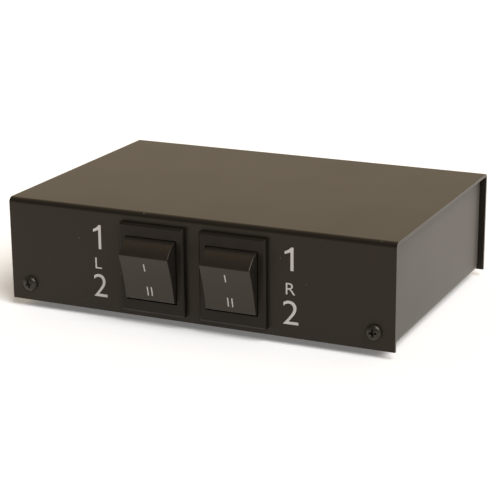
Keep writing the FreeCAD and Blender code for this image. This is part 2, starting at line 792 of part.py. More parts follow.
def wire_path(places):
    """Straight runs through the places, joined by arcs of the wire's own bend."""
    bend = value("wire_bend")
    edges = []
    start = places[0]
    for before, corner, after in zip(places, places[1:], places[2:]):
        arriving = (corner - before).normalize()
        leaving = (after - corner).normalize()
        turn = arriving.getAngle(leaving)
        reach = bend * math.tan(turn / 2)
        first = corner - arriving * reach
        last = corner + leaving * reach
        inward = (leaving - arriving).normalize()
        middle = corner + inward * (bend / math.cos(turn / 2) - bend)
        edges.append(Part.LineSegment(start, first).toShape())
        edges.append(Part.Arc(first, middle, last).toShape())
        start = last
    edges.append(Part.LineSegment(start, places[-1]).toShape())
    return Part.Wire(edges)


def make_wires():
    """Each tab's wire runs straight out of its connector and straight into its tag."""
    post_of = {name: (x, z, row) for name, x, z, row in post_places()}
    wires = {"plus": [], "minus": []}
    start_y = value("tab_reach + connector_length - connector_overlap")
    end_y = value("case_depth - tag_thick")
    radius = value("wire_radius")
    for side, way in sides:
        switch_x = "(%d * switch_spread / 2)" % way
        for pole, row, x, z in blade_places(switch_x):
            polarity = "plus" if pole * way > 0 else "minus"
            column = {1: "source_1", 0: "speaker", -1: "source_2"}[row]
            post_x, post_z, post_row = post_of["%s_%s_%s" % (side, column, polarity)]
            tag_z = value("%s - %d * %s" % (post_z, post_row, wire_offset))
            places = [
                FreeCAD.Vector(value(x), start_y, value(z)),
                FreeCAD.Vector(value(x), start_y + value("wire_front_lead"), value(z)),
                FreeCAD.Vector(value(post_x), end_y - value("wire_rear_lead"), tag_z),
                FreeCAD.Vector(value(post_x), end_y, tag_z),
            ]
            ring = []
            for step in range(wire_sides + 1):
                angle = 2 * math.pi * step / wire_sides
                ring.append(places[0] + FreeCAD.Vector(math.cos(angle), 0, math.sin(angle)) * radius)
            tube = wire_path(places).makePipeShell([Part.makePolygon(ring)], True, False)
            wires[polarity].append(tube)
    for polarity, label in (("plus", "red_wires"), ("minus", "black_wires")):
        item = doc.addObject("Part::Feature", label + "_run")
        item.Shape = Part.makeCompound(wires[polarity])
        finish_piece(item, label)


def make_connectors():
    """A push-on receptacle over each tab."""
    sleeves = []
    tabs = []
    for way in (-1, 1):
        for pole, row, x, z in blade_places("(%d * switch_spread / 2)" % way):
            front = "tab_reach - connector_overlap"
            sleeves.append(block("receptacle",
                                 ("%s - connector_width / 2" % x, "%s + connector_width / 2" % x),
                                 (front, front + " + connector_length"),
                                 ("%s - connector_height / 2" % z, "%s + connector_height / 2" % z)))
            tabs.append(slot_around(x, (front + " - cut_past", "tab_reach"), z, "0"))
    receptacles = cut("receptacle_cut", group("receptacle_group", sleeves), tabs)
    finish_piece(receptacles, "push_on_connectors")


make_cover()
make_base_tray()
make_case_screws()
make_feet()
for side, way in sides:
    switch_x = "(%d * switch_spread / 2)" % way
    make_housing(side, switch_x)
    make_rocker(side, switch_x)
    make_levers(side, way, switch_x)
    make_blades(side, switch_x)
make_terminal_board()
make_posts()
make_caps()
make_connectors()
make_wires()
doc.recompute()

# Checks before anything is written
for item in doc.Objects:
    if "Invalid" in item.State or "Error" in item.State:
        raise RuntimeError("%s failed: %s" % (item.Label, item.State))
for item in nodes:
    if item.Shape.isNull() or not item.Shape.isValid():
        raise RuntimeError("%s has no valid shape" % item.Label)

os.makedirs("parts", exist_ok=True)
whole = FreeCAD.BoundBox()
for item in nodes:
    item.Shape.exportStep(os.path.join("parts", item.Label + ".step"))
    whole.add(item.Shape.BoundBox)
    print(item.Label, len(item.Shape.Solids), "solids", round(item.Shape.Volume, 2), "mm3")
print(len(nodes), "pieces;", whole)
print("front panel at Y", round(value(front_place), 4), "fulcrum depth", round(value(fulcrum_depth), 4))
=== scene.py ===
import bpy
import bmesh
import json
import math
from mathutils import Matrix, Vector


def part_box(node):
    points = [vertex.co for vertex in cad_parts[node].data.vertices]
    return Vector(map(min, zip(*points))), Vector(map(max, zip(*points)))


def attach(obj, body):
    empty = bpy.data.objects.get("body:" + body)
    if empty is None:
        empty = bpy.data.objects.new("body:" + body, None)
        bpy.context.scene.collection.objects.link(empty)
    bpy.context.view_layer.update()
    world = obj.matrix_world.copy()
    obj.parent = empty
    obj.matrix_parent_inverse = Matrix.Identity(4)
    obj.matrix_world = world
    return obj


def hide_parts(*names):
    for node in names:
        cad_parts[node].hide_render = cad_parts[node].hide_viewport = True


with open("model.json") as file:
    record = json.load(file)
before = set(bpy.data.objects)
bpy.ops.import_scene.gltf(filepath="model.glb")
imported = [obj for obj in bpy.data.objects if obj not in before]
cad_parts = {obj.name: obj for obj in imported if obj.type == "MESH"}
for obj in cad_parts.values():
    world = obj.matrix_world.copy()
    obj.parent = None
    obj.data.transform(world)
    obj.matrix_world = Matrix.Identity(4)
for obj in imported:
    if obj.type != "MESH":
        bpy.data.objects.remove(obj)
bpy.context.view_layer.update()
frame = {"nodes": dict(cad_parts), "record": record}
nodes = frame["nodes"]
slotOf = {part["node"]: part["material_slot"] for part in frame["record"]["subparts"]}
bodyOf = {node: body for body, group in frame["record"]["behaviour"]["bodies"].items() for node in group}
mm = 0.001
fullTurn = 2 * math.pi
samePlace = 0.001 * mm    # corners as close as this are one corner
samePlane = 0.01 * mm     # a corner as close as this lies in the plane


# Node groups that several finishes share

def startGroup(name, inputs, outputs):
    group = bpy.data.node_groups.new(name, "ShaderNodeTree")
    for label, kind, start in inputs:
        socket = group.interface.new_socket(name=label, in_out="INPUT", socket_type=kind)
        if start is not None:
            socket.default_value = start
    for label, kind in outputs:
        group.interface.new_socket(name=label, in_out="OUTPUT", socket_type=kind)
    return group, group.nodes.new("NodeGroupInput"), group.nodes.new("NodeGroupOutput")


def makeFineGrain():
    # a fine moulded or sprayed grain, and broad patches that vary the colour and the gloss
    group, given, result = startGroup("fineGrain", [
        ("Vector", "NodeSocketVector", None),
        ("Grain Size", "NodeSocketFloat", 0.0003),
        ("Patch Size", "NodeSocketFloat", 0.02),
    ], [("Height", "NodeSocketFloat"), ("Patches", "NodeSocketFloat")])
    for size, output, detail in (("Grain Size", "Height", 2), ("Patch Size", "Patches", 4)):
        scaled = group.nodes.new("ShaderNodeVectorMath")
        scaled.operation = "DIVIDE"
        spread = group.nodes.new("ShaderNodeCombineXYZ")
        for axis in "XYZ":
            group.links.new(given.outputs[size], spread.inputs[axis])
        group.links.new(given.outputs["Vector"], scaled.inputs[0])
        group.links.new(spread.outputs[0], scaled.inputs[1])
        noise = group.nodes.new("ShaderNodeTexNoise")
        noise.inputs["Scale"].default_value = 1
        noise.inputs["Detail"].default_value = detail
        group.links.new(scaled.outputs[0], noise.inputs["Vector"])
        group.links.new(noise.outputs["Fac"], result.inputs[output])
    return group


def makeDustFlecks():
    # rare pale flecks, one at most in each cell
    group, given, result = startGroup("dustFlecks", [
        ("Vector", "NodeSocketVector", None),
        ("Cells", "NodeSocketFloat", 300),
        ("Fleck Size", "NodeSocketFloat", 0.06),
        ("Share", "NodeSocketFloat", 0.2),
    ], [("Mask", "NodeSocketFloat")])
    cells = group.nodes.new("ShaderNodeTexVoronoi")
    group.links.new(given.outputs["Vector"], cells.inputs["Vector"])
    group.links.new(given.outputs["Cells"], cells.inputs["Scale"])
    near = group.nodes.new("ShaderNodeMath")
    near.operation = "LESS_THAN"
    group.links.new(cells.outputs["Distance"], near.inputs[0])
    group.links.new(given.outputs["Fleck Size"], near.inputs[1])
    chosen = group.nodes.new("ShaderNodeSeparateColor")
    group.links.new(cells.outputs["Color"], chosen.inputs[0])
    some = group.nodes.new("ShaderNodeMath")
    some.operation = "LESS_THAN"
    group.links.new(chosen.outputs[0], some.inputs[0])
    group.links.new(given.outputs["Share"], some.inputs[1])
    both = group.nodes.new("ShaderNodeMath")
    both.operation = "MULTIPLY"
    group.links.new(near.outputs[0], both.inputs[0])
    group.links.new(some.outputs[0], both.inputs[1])
    group.links.new(both.outputs[0], result.inputs["Mask"])
    return group


fineGrain = makeFineGrain()
dustFlecks = makeDustFlecks()

# Finishes, one for each material slot of the record. Colours are two shades of one finish, and
# roughness runs between its two values in the same patches.
looks = {
    "case_paint": {"color": (0.0075, 0.0062, 0.0045), "shade": (0.0058, 0.0046, 0.0032),
                   "roughness": (0.385, 0.41), "grain": 0.0005, "patch": 0.03, "bump": 0.06,
                   "specular": 0.34, "specularTint": (1, 0.84, 0.68), "sheen": 0.25,
                   "sheenTint": (1, 0.94, 0.84), "dust": 0.1},
    "black_screw": {"color": (0.05, 0.044, 0.036), "shade": (0.03, 0.025, 0.02), "roughness": (0.28, 0.4),
                    "grain": 0.0002, "patch": 0.002, "bump": 0.08, "metallic": 0.7},
    "foot_rubber": {"color": (0.016, 0.016, 0.016), "shade": (0.011, 0.011, 0.011), "roughness": (0.7, 0.85),
                    "grain": 0.0003, "patch": 0.004, "bump": 0.3, "dust": 0.3},
    "board_plastic": {"color": (0.018, 0.016, 0.014), "shade": (0.012, 0.011, 0.01), "roughness": (0.45, 0.6),
                      "grain": 0.0006, "patch": 0.01, "bump": 0.2},
    "plated_steel": {"color": (0.6, 0.6, 0.58), "shade": (0.48, 0.48, 0.47), "roughness": (0.25, 0.4),
                     "grain": 0.0002, "patch": 0.003, "bump": 0.05, "metallic": 1},
    "plated_brass": {"color": (0.72, 0.69, 0.63), "shade": (0.6, 0.57, 0.5), "roughness": (0.16, 0.28),
                     "grain": 0.0002, "patch": 0.004, "bump": 0.03, "metallic": 1},
    "tinned_brass": {"color": (0.68, 0.66, 0.6), "shade": (0.55, 0.52, 0.45), "roughness": (0.3, 0.45),
                     "grain": 0.0003, "patch": 0.003, "bump": 0.08, "metallic": 1},
    "connector_plastic": {"color": (0.7, 0.68, 0.6), "shade": (0.62, 0.6, 0.52), "roughness": (0.4, 0.5),
                          "grain": 0.0004, "patch": 0.006, "bump": 0.06},
    "red_insulation": {"color": (0.5, 0.02, 0.015), "shade": (0.42, 0.015, 0.012), "roughness": (0.35, 0.45),
                       "grain": 0.0004, "patch": 0.006, "bump": 0.05},
    "black_insulation": {"color": (0.015, 0.015, 0.015), "shade": (0.01, 0.01, 0.01),
                         "roughness": (0.35, 0.45), "grain": 0.0004, "patch": 0.006, "bump": 0.05},
    "switch_plastic": {"color": (0.006, 0.005, 0.004), "shade": (0.0045, 0.0037, 0.003),
                       "roughness": (0.42, 0.5), "grain": 0.00035, "patch": 0.008, "bump": 0.12,
                       "specular": 0.3, "specularTint": (1, 0.84, 0.7)},
    "rocker_plastic": {"color": (0.014, 0.012, 0.0098), "shade": (0.0115, 0.0098, 0.008),
                       "roughness": (0.3, 0.38), "grain": 0.0003, "patch": 0.006, "bump": 0.12,
                       "specularTint": (1, 0.84, 0.7)},
    "plunger_plastic": {"color": (0.75, 0.73, 0.66), "shade": (0.68, 0.66, 0.58), "roughness": (0.35, 0.45),
                        "grain": 0.0003, "patch": 0.003, "bump": 0.04},
    "spring_steel": {"color": (0.55, 0.55, 0.54), "shade": (0.45, 0.45, 0.44), "roughness": (0.25, 0.35),
                     "grain": 0.0002, "patch": 0.002, "bump": 0.04, "metallic": 1},
    "lever_copper": {"color": (0.72, 0.38, 0.2), "shade": (0.6, 0.3, 0.15), "roughness": (0.25, 0.4),
                     "grain": 0.0002, "patch": 0.003, "bump": 0.05, "metallic": 1},
    "contact_silver": {"color": (0.8, 0.79, 0.76), "shade": (0.65, 0.63, 0.58), "roughness": (0.2, 0.35),
                       "grain": 0.0002, "patch": 0.001, "bump": 0.05, "metallic": 1},
    "red_cap_plastic": {"color": (0.42, 0.012, 0.01), "shade": (0.34, 0.009, 0.008), "roughness": (0.2, 0.32),
                        "grain": 0.0004, "patch": 0.005, "bump": 0.05, "coat": 0.2},
    "black_cap_plastic": {"color": (0.012, 0.012, 0.012), "shade": (0.008, 0.008, 0.008),
                          "roughness": (0.2, 0.32), "grain": 0.0004, "patch": 0.005, "bump": 0.05,
                          "coat": 0.2},
    "printed_ink": {"color": (0.57, 0.54, 0.51), "shade": (0.51, 0.48, 0.45), "roughness": (0.5, 0.65),
                    "grain": 0.0002, "patch": 0.002, "bump": 0.1},
}
# What all the finishes share
surface = {"patchRange": (0.3, 0.7), "sheenRoughness": 0.4, "dustColor": (0.16, 0.14, 0.12)}


def makeFinish(name, look):
    material = bpy.data.materials.new(name)
    material.use_nodes = True
    tree = material.node_tree
    shader = tree.nodes["Principled BSDF"]
    shader.inputs["Metallic"].default_value = look.get("metallic", 0)
    shader.inputs["Specular IOR Level"].default_value = look.get("specular", 0.5)
    shader.inputs["Specular Tint"].default_value = (*look.get("specularTint", (1, 1, 1)), 1)
    shader.inputs["Sheen Weight"].default_value = look.get("sheen", 0)
    shader.inputs["Sheen Roughness"].default_value = surface["sheenRoughness"]
    shader.inputs["Sheen Tint"].default_value = (*look.get("sheenTint", (1, 1, 1)), 1)
    shader.inputs["Coat Weight"].default_value = look.get("coat", 0)
    place = tree.nodes.new("ShaderNodeTexCoord")
    grain = tree.nodes.new("ShaderNodeGroup")
    grain.node_tree = fineGrain
    grain.inputs["Grain Size"].default_value = look["grain"]
    grain.inputs["Patch Size"].default_value = look["patch"]
    tree.links.new(place.outputs["Object"], grain.inputs["Vector"])
    tint = tree.nodes.new("ShaderNodeMix")
    tint.data_type = "RGBA"
    tint.inputs["A"].default_value = (*look["color"], 1)
    tint.inputs["B"].default_value = (*look["shade"], 1)
    tree.links.new(grain.outputs["Patches"], tint.inputs["Factor"])
    color = tint.outputs["Result"]
    gloss = tree.nodes.new("ShaderNodeMapRange")
    for end, patches, rough in zip(("Min", "Max"), surface["patchRange"], look["roughness"]):
        gloss.inputs["From " + end].default_value = patches
        gloss.inputs["To " + end].default_value = rough
    tree.links.new(grain.outputs["Patches"], gloss.inputs["Value"])
    tree.links.new(gloss.outputs["Result"], shader.inputs["Roughness"])
    if look.get("dust"):
        flecks = tree.nodes.new("ShaderNodeGroup")
        flecks.node_tree = dustFlecks
        flecks.inputs["Share"].default_value = look["dust"]
        tree.links.new(place.outputs["Object"], flecks.inputs["Vector"])
        dusted = tree.nodes.new("ShaderNodeMix")
        dusted.data_type = "RGBA"
        dusted.inputs["B"].default_value = (*surface["dustColor"], 1)
        tree.links.new(flecks.outputs["Mask"], dusted.inputs["Factor"])
        tree.links.new(color, dusted.inputs["A"])
        color = dusted.outputs["Result"]
    tree.links.new(color, shader.inputs["Base Color"])
    bump = tree.nodes.new("ShaderNodeBump")
    bump.inputs["Strength"].default_value = look["bump"]
    bump.inputs["Distance"].default_value = look["grain"]
    tree.links.new(grain.outputs["Height"], bump.inputs["Height"])
    tree.links.new(bump.outputs["Normal"], shader.inputs["Normal"])
    return material


finishes = {name: makeFinish(name, look) for name, look in looks.items()}
for name, cadNode in nodes.items():
    for place in cadNode.material_slots:
        place.material = finishes[slotOf[name]]
print("finishes made:", len(finishes))


# Shared ways of making a piece

def finishPiece(name, bm, slot, body="root", stands=(), sharpAngle=35, finish=None):
    mesh = bpy.data.meshes.new(name)
    bm.to_mesh(mesh)
    bm.free()
    mesh.materials.append(finishes[finish or slot])
    mesh.shade_smooth()
    mesh.set_sharp_from_angle(angle=math.radians(sharpAngle))
    piece = bpy.data.objects.new(name, mesh)
    bpy.context.scene.collection.objects.link(piece)
    # a large flat face beside a narrow rounded edge keeps its own flat shading
    flat = piece.modifiers.new("flatFaces", "WEIGHTED_NORMAL")
    flat.keep_sharp = True
    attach(piece, body)
    if stands:
        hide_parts(*stands)
    return piece


def pieceName(node):
    firstWord, *others = node.split("_")
    return firstWord + "".join(word.capitalize() for word in others)


def replaceNode(node, bm, name=None, sharpAngle=35):
    # the shape stands for the node, in its slot and on its body
    return finishPiece(name or pieceName(node), bm, slotOf[node], body=bodyOf[node], stands=[node],
                       sharpAngle=sharpAngle)


def cadCopy(node):
    # the node's own shape, with its triangles joined into whole faces again
    bm = bmesh.new()
    bm.from_mesh(nodes[node].data)
    bmesh.ops.remove_doubles(bm, verts=bm.verts, dist=samePlace)
    bmesh.ops.dissolve_limit(bm, angle_limit=math.radians(1), verts=bm.verts, edges=bm.edges)
    return bm


def softenEdges(bm, width, segments=2, angle=30, chosen=None):
    sharp = [edge for edge in bm.edges if edge.is_manifold and edge.calc_face_angle(0) > math.radians(angle)
             and (chosen is None or chosen(edge))]
    bmesh.ops.bevel(bm, geom=sharp, offset=width, offset_type="OFFSET", segments=segments, profile=0.5,
                    affect="EDGES", material=-1, clamp_overlap=True)


def thicken(bm, thick):
    # a flat figure gets a back that far along Y, and its edges close the sides
    made = bmesh.ops.extrude_face_region(bm, geom=bm.faces[:], use_keep_orig=True)
    back = [item for item in made["geom"] if isinstance(item, bmesh.types.BMVert)]
    bmesh.ops.translate(bm, vec=(0, thick, 0), verts=back)
    bmesh.ops.recalc_face_normals(bm, faces=bm.faces)


def turned(outline, steps, along=Vector((0, 1, 0))):
    # an outline of (radius, place along the axis) turned about an axis through the origin;
    # where two corners in turn are on the axis, no edge joins them
    bm = bmesh.new()
    side = along.orthogonal().normalized()
    corners = [bm.verts.new(side * radius + along * height) for radius, height in outline]
    edges = [bm.edges.new((corners[i - 1], corners[i])) for i in range(len(corners))
             if outline[i - 1][0] > 0 or outline[i][0] > 0]
    bmesh.ops.spin(bm, geom=corners + edges, cent=(0, 0, 0), axis=along, angle=fullTurn, steps=steps,
                   use_merge=True, use_duplicate=False)
    bmesh.ops.remove_doubles(bm, verts=bm.verts, dist=2 * samePlace)
    bmesh.ops.recalc_face_normals(bm, faces=bm.faces)
    return bm


def placeCopies(bm, places):
    # one copy of the shape at each place, in one mesh
    pattern = bpy.data.meshes.new("pattern")
    bm.to_mesh(pattern)
    bm.free()
    group = bmesh.new()
    for place in places:
        before = len(group.verts)
        group.from_mesh(pattern)
        group.verts.ensure_lookup_table()
        bmesh.ops.transform(group, matrix=place, verts=group.verts[before:])
    bpy.data.meshes.remove(pattern)
    return group


def addShape(bm, shape):
    # the second shape joins the first as a part of its mesh
    mesh = bpy.data.meshes.new("shape")
    shape.to_mesh(mesh)
    shape.free()
    bm.from_mesh(mesh)
    bpy.data.meshes.remove(mesh)


def cutAway(bm, tool):
    # the first shape less the second, by a Boolean that is applied at once
    shapes = []
    for source in (bm, tool):
        mesh = bpy.data.meshes.new("cutting")
        source.to_mesh(mesh)
        source.free()
        shape = bpy.data.objects.new("cutting", mesh)
        bpy.context.scene.collection.objects.link(shape)
        shapes.append(shape)
    step = shapes[0].modifiers.new("cutting", "BOOLEAN")
    step.operation = "DIFFERENCE"
    step.solver = "EXACT"
    step.object = shapes[1]
    result = bmesh.new()
    result.from_object(shapes[0], bpy.context.evaluated_depsgraph_get())
    for shape in shapes:
        mesh = shape.data
        bpy.data.objects.remove(shape)
        bpy.data.meshes.remove(mesh)
    bmesh.ops.remove_doubles(result, verts=result.verts, dist=samePlace)
    bmesh.ops.dissolve_degenerate(result, edges=result.edges, dist=samePlace)
    bmesh.ops.triangulate(result, faces=[face for face in result.faces if len(face.verts) > 4])
    return result


def meshOf(curve):
    # the mesh of a curve or a text, taken at once
    holder = bpy.data.objects.new("holder", curve)
    bpy.context.scene.collection.objects.link(holder)
    mesh = bpy.data.meshes.new_from_object(holder.evaluated_get(bpy.context.evaluated_depsgraph_get()))
    bpy.data.objects.remove(holder)
    bpy.data.curves.remove(curve)
    bm = bmesh.new()
    bm.from_mesh(mesh)
    bpy.data.meshes.remove(mesh)
    bmesh.ops.remove_doubles(bm, verts=bm.verts, dist=0.1 * samePlace)
    return bm


def solidsOf(node):
    # the corners of each separate solid of a node
    bm = cadCopy(node)
    seen = set()
    solids = []
    for start in bm.verts:
        if start in seen:
            continue
        seen.add(start)
        reach = [start]
        corners = []
        while reach:
            vert = reach.pop()
            corners.append(vert.co.copy())
            for edge in vert.link_edges:
                other = edge.other_vert(vert)
                if other not in seen:
                    seen.add(other)
                    reach.append(other)
        solids.append(corners)
    bm.free()
    return solids


def boxOf(corners):
    low = Vector([min(corner[i] for corner in corners) for i in range(3)])
    high = Vector([max(corner[i] for corner in corners) for i in range(3)])
    return low, high


def middleOf(corners):
    return sum(corners, Vector()) / len(corners)


# Camera, as the photograph was taken: its place, the way it looks and its right-hand side
camera = {"place": (0.25026, -0.55304, 0.19869), "ahead": (-0.39991907, 0.86947106, -0.2899738),
          "right": (0.90942743, 0.41579496, -0.00750306), "lens": 118.13, "sensor": 36,
          "nearest": 0.01}


def placeCamera():
    data = bpy.data.cameras.new("photoCamera")
    data.sensor_fit = "HORIZONTAL"
    data.sensor_width = camera["sensor"]
    data.lens = camera["lens"]
    data.clip_start = camera["nearest"]
    eye = bpy.data.objects.new("photoCamera", data)
    ahead = Vector(camera["ahead"]).normalized()
    right = Vector(camera["right"]).normalized()
    up = right.cross(ahead)
    turn = Matrix((right, up, -ahead)).transposed()
    eye.matrix_world = Matrix.Translation(camera["place"]) @ turn.to_4x4()
    bpy.context.scene.collection.objects.link(eye)
    bpy.context.scene.camera = eye


placeCamera()

# Studio: a white floor, a soft lamp above, in front and to the right, and a warm backdrop that is
# pale behind the object and dark behind the camera
studio = {"floorSize": 12, "floorColor": (0.97, 0.97, 0.97), "floorGlow": 0.16, "lampStrength": 2.85,
          "lampColor": (0.97, 0.985, 1), "lampSoftness": 40, "lampTurn": (42, 0, 57),
          "backdropBehind": (0.7, 0.57, 0.4), "backdropInFront": (0.14, 0.12, 0.1),
          "backdropFade": (-0.6, 0.7)}


def makeFloor():
    bm = bmesh.new()
    bmesh.ops.create_grid(bm, x_segments=1, y_segments=1, size=studio["floorSize"] / 2)
    mesh = bpy.data.meshes.new("floor")
    bm.to_mesh(mesh)
    bm.free()
    floor = bpy.data.objects.new("floor", mesh)
    bpy.context.scene.collection.objects.link(floor)
    white = bpy.data.materials.new("floorWhite")
    white.use_nodes = True
    shader = white.node_tree.nodes["Principled BSDF"]
    shader.inputs["Base Color"].default_value = (*studio["floorColor"], 1)
    shader.inputs["Roughness"].default_value = 1
    shader.inputs["Specular IOR Level"].default_value = 0
    shader.inputs["Emission Color"].default_value = (1, 1, 1, 1)
    # the floor is a little lighter to the camera, and in the same way in gloss and through glass
    rays = white.node_tree.nodes.new("ShaderNodeLightPath")
    seen = rays.outputs["Is Camera Ray"]
    for kind in ("Is Glossy Ray", "Is Transmission Ray"):
        either = white.node_tree.nodes.new("ShaderNodeMath")
        either.operation = "MAXIMUM"
        white.node_tree.links.new(seen, either.inputs[0])
        white.node_tree.links.new(rays.outputs[kind], either.inputs[1])
        seen = either.outputs[0]
    glow = white.node_tree.nodes.new("ShaderNodeMath")
    glow.operation = "MULTIPLY"
    glow.inputs[1].default_value = studio["floorGlow"]
    white.node_tree.links.new(seen, glow.inputs[0])
    white.node_tree.links.new(glow.outputs[0], shader.inputs["Emission Strength"])
    mesh.materials.append(white)


def makeLamp():
    sun = bpy.data.lights.new("softLamp", "SUN")
    sun.energy = studio["lampStrength"]
    sun.color = studio["lampColor"]
    sun.angle = math.radians(studio["lampSoftness"])
    lamp = bpy.data.objects.new("softLamp", sun)
    lamp.rotation_euler = [math.radians(a) for a in studio["lampTurn"]]
    bpy.context.scene.collection.objects.link(lamp)


def makeBackdrop():
    world = bpy.data.worlds.new("studio")
    world.use_nodes = True
    tree = world.node_tree
    background = tree.nodes["Background"]
    ahead = tree.nodes.new("ShaderNodeTexCoord")
    parts = tree.nodes.new("ShaderNodeSeparateXYZ")
    tree.links.new(ahead.outputs["Generated"], parts.inputs[0])
    fade = tree.nodes.new("ShaderNodeMapRange")
    fade.interpolation_type = "SMOOTHSTEP"
    for end, place in zip(("Min", "Max"), studio["backdropFade"]):
        fade.inputs["From " + end].default_value = place
    tree.links.new(parts.outputs["Y"], fade.inputs["Value"])
    blend = tree.nodes.new("ShaderNodeMix")
    blend.data_type = "RGBA"
    blend.inputs["A"].default_value = (*studio["backdropInFront"], 1)
    blend.inputs["B"].default_value = (*studio["backdropBehind"], 1)
    tree.links.new(fade.outputs["Result"], blend.inputs["Factor"])
    tree.links.new(blend.outputs["Result"], background.inputs["Color"])
    bpy.context.scene.world = world


makeFloor()
makeLamp()
makeBackdrop()
bpy.context.scene.view_settings.view_transform = "Standard"
print("camera and studio placed")

# Case: the two folded sheets and the rear board, with their sheared edges broken
case = {"sheetEdge": 0.15 * mm, "boardEdge": 0.3 * mm, "boardSide": 20 * mm}


def makeCase():
    for node, name in (("cover", "caseCover"), ("base_tray", "caseBaseTray")):
        bm = cadCopy(node)
        softenEdges(bm, case["sheetEdge"])
        replaceNode(node, bm, name=name)
    bm = cadCopy("terminal_board")
    softenEdges(bm, case["boardEdge"], chosen=lambda edge: edge.calc_length() > case["boardSide"])
    replaceNode("terminal_board", bm)


makeCase()

# Screws: a low domed head with a cross recess, and a threaded shank. The dome's outline is in
# shares of the head's radius and height.
screw = {"headRadius": 2.9 * mm, "headHeight": 1.8 * mm, "headSeatLess": 0.1 * mm, "headSides": 32,
         "dome": ((1, 0.07), (1, 0.28), (0.95, 0.5), (0.84, 0.7), (0.68, 0.84), (0.45, 0.95), (0.2, 1)),
         "shankRadius": 1.5 * mm, "threadDepth": 0.22 * mm, "pitch": 0.8 * mm, "length": 7 * mm,
         "crossLength": 3.3 * mm, "crossWidth": 0.85 * mm, "crossDepth": 1.15 * mm, "crossTaper": 0.45,
         "cutPast": 0.2 * mm, "leftTurn": 20, "rightTurn": 4}


def makeScrew():
    s = screw
    top = s["headHeight"]
    place = -s["length"]
    outline = [(0, place)]
    while place + s["pitch"] < 0:
        outline += [(s["shankRadius"] - s["threadDepth"], place),
                    (s["shankRadius"], place + s["pitch"] / 2)]
        place += s["pitch"]
    outline += [(s["shankRadius"], 0), (s["headRadius"] - s["headSeatLess"], 0)]
    outline += [(s["headRadius"] * radius, top * height) for radius, height in s["dome"]]
    outline.append((0, top))
    head = turned(outline, s["headSides"])
    half, arm = s["crossWidth"] / 2, s["crossLength"] / 2
    corners = [(half, half), (half, arm), (-half, arm), (-half, half), (-arm, half), (-arm, -half),
               (-half, -half), (-half, -arm), (half, -arm), (half, -half), (arm, -half), (arm, half)]
    cross = bmesh.new()
    face = cross.faces.new([cross.verts.new((x, top + s["cutPast"], z)) for x, z in corners])
    made = bmesh.ops.extrude_face_region(cross, geom=[face])
    deep = [item for item in made["geom"] if isinstance(item, bmesh.types.BMVert)]
    bmesh.ops.scale(cross, vec=(s["crossTaper"], 1, s["crossTaper"]), verts=deep)
    bmesh.ops.translate(cross, vec=(0, -s["cutPast"] - s["crossDepth"], 0), verts=deep)
    bmesh.ops.recalc_face_normals(cross, faces=cross.faces)
    return cutAway(head, cross)


def makeScrews():
    s = screw
    low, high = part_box("case_screws")
    rows = ((low.y + s["headHeight"], True), (high.y - s["headHeight"], False))
    columns = ((low.x + s["headRadius"], s["leftTurn"]), (high.x - s["headRadius"], s["rightTurn"]))
    places = []
    for x, turn in columns:
        for y, front in rows:
            facing = Matrix.Rotation(math.pi, 4, "Z") if front else Matrix.Identity(4)
            own = Matrix.Rotation(math.radians(turn), 4, "Y")
            places.append(Matrix.Translation((x, y, (low.z + high.z) / 2)) @ facing @ own)
    replaceNode("case_screws", placeCopies(makeScrew(), places))
    low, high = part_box("board_screws")
    places = [Matrix.Translation((x, high.y - s["headHeight"], (low.z + high.z) / 2))
              for x in (low.x + s["headRadius"], high.x - s["headRadius"])]
    replaceNode("board_screws", placeCopies(makeScrew(), places))


makeScrews()

# Feet: turned rubber pads with a dished tread. The tread's rounding is in shares of its radius,
# inwards and upwards.
foot = {"radius": 5 * mm, "treadShare": 0.94, "round": 0.5 * mm, "rounding": ((1, 0), (0.15, 0.3), (0, 1)),
        "rim": 0.5 * mm, "dishRadius": 3 * mm, "dishDepth": 0.5 * mm, "dishSlope": 0.4 * mm, "sides": 40}


def makeFeet():
    f = foot
    low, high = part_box("rubber_feet")
    tall = high.z - low.z
    tread = f["radius"] * f["treadShare"]
    outline = [(0, f["dishDepth"]), (f["dishRadius"] - f["dishSlope"], f["dishDepth"]), (f["dishRadius"], 0)]
    outline += [(tread - inward * f["round"], up * f["round"]) for inward, up in f["rounding"]]
    outline += [(f["radius"], tall - f["rim"]), (f["radius"], tall), (0, tall)]
    places = [Matrix.Translation((x, y, low.z)) for x in (low.x + f["radius"], high.x - f["radius"])
              for y in (low.y + f["radius"], high.y - f["radius"])]
    replaceNode("rubber_feet", placeCopies(turned(outline, f["sides"], Vector((0, 0, 1))), places))


makeFeet()
print("case, screws and feet made")

# Switches: the bezel's edges are rounded, and so are the edges round the rocker's two cheeks
switch = {"bezelEdge": 0.22 * mm, "rockerEdge": 0.55 * mm, "cheekArea": 50 * mm * mm, "rockerTurn": 16}


def rockerPivot(side):
    joints = {joint["name"]: joint for joint in frame["record"]["behaviour"]["joints"]}
    return Vector(joints[side + "_rocker_tilt"]["pos_m"])


def softenRocker(bm, middle):
    # a cheek is a large face that looks sideways; the trunnions' ends are small
    outer = max(abs(face.calc_center_median().x - middle) for face in bm.faces
                if abs(face.normal.x) > 0.99 and face.calc_area() > switch["cheekArea"])

    def roundCheek(edge):
        return all(abs(abs(v.co.x - middle) - outer) < samePlane for v in edge.verts)
    softenEdges(bm, switch["rockerEdge"], segments=3, chosen=roundCheek)


def makeSwitches():
    for side in ("left", "right"):
        bm = cadCopy(side + "_switch_housing")
        softenEdges(bm, switch["bezelEdge"])
        replaceNode(side + "_switch_housing", bm)
        low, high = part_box(side + "_rocker")
        bm = cadCopy(side + "_rocker")
        softenRocker(bm, (low.x + high.x) / 2)
        replaceNode(side + "_rocker", bm)


makeSwitches()

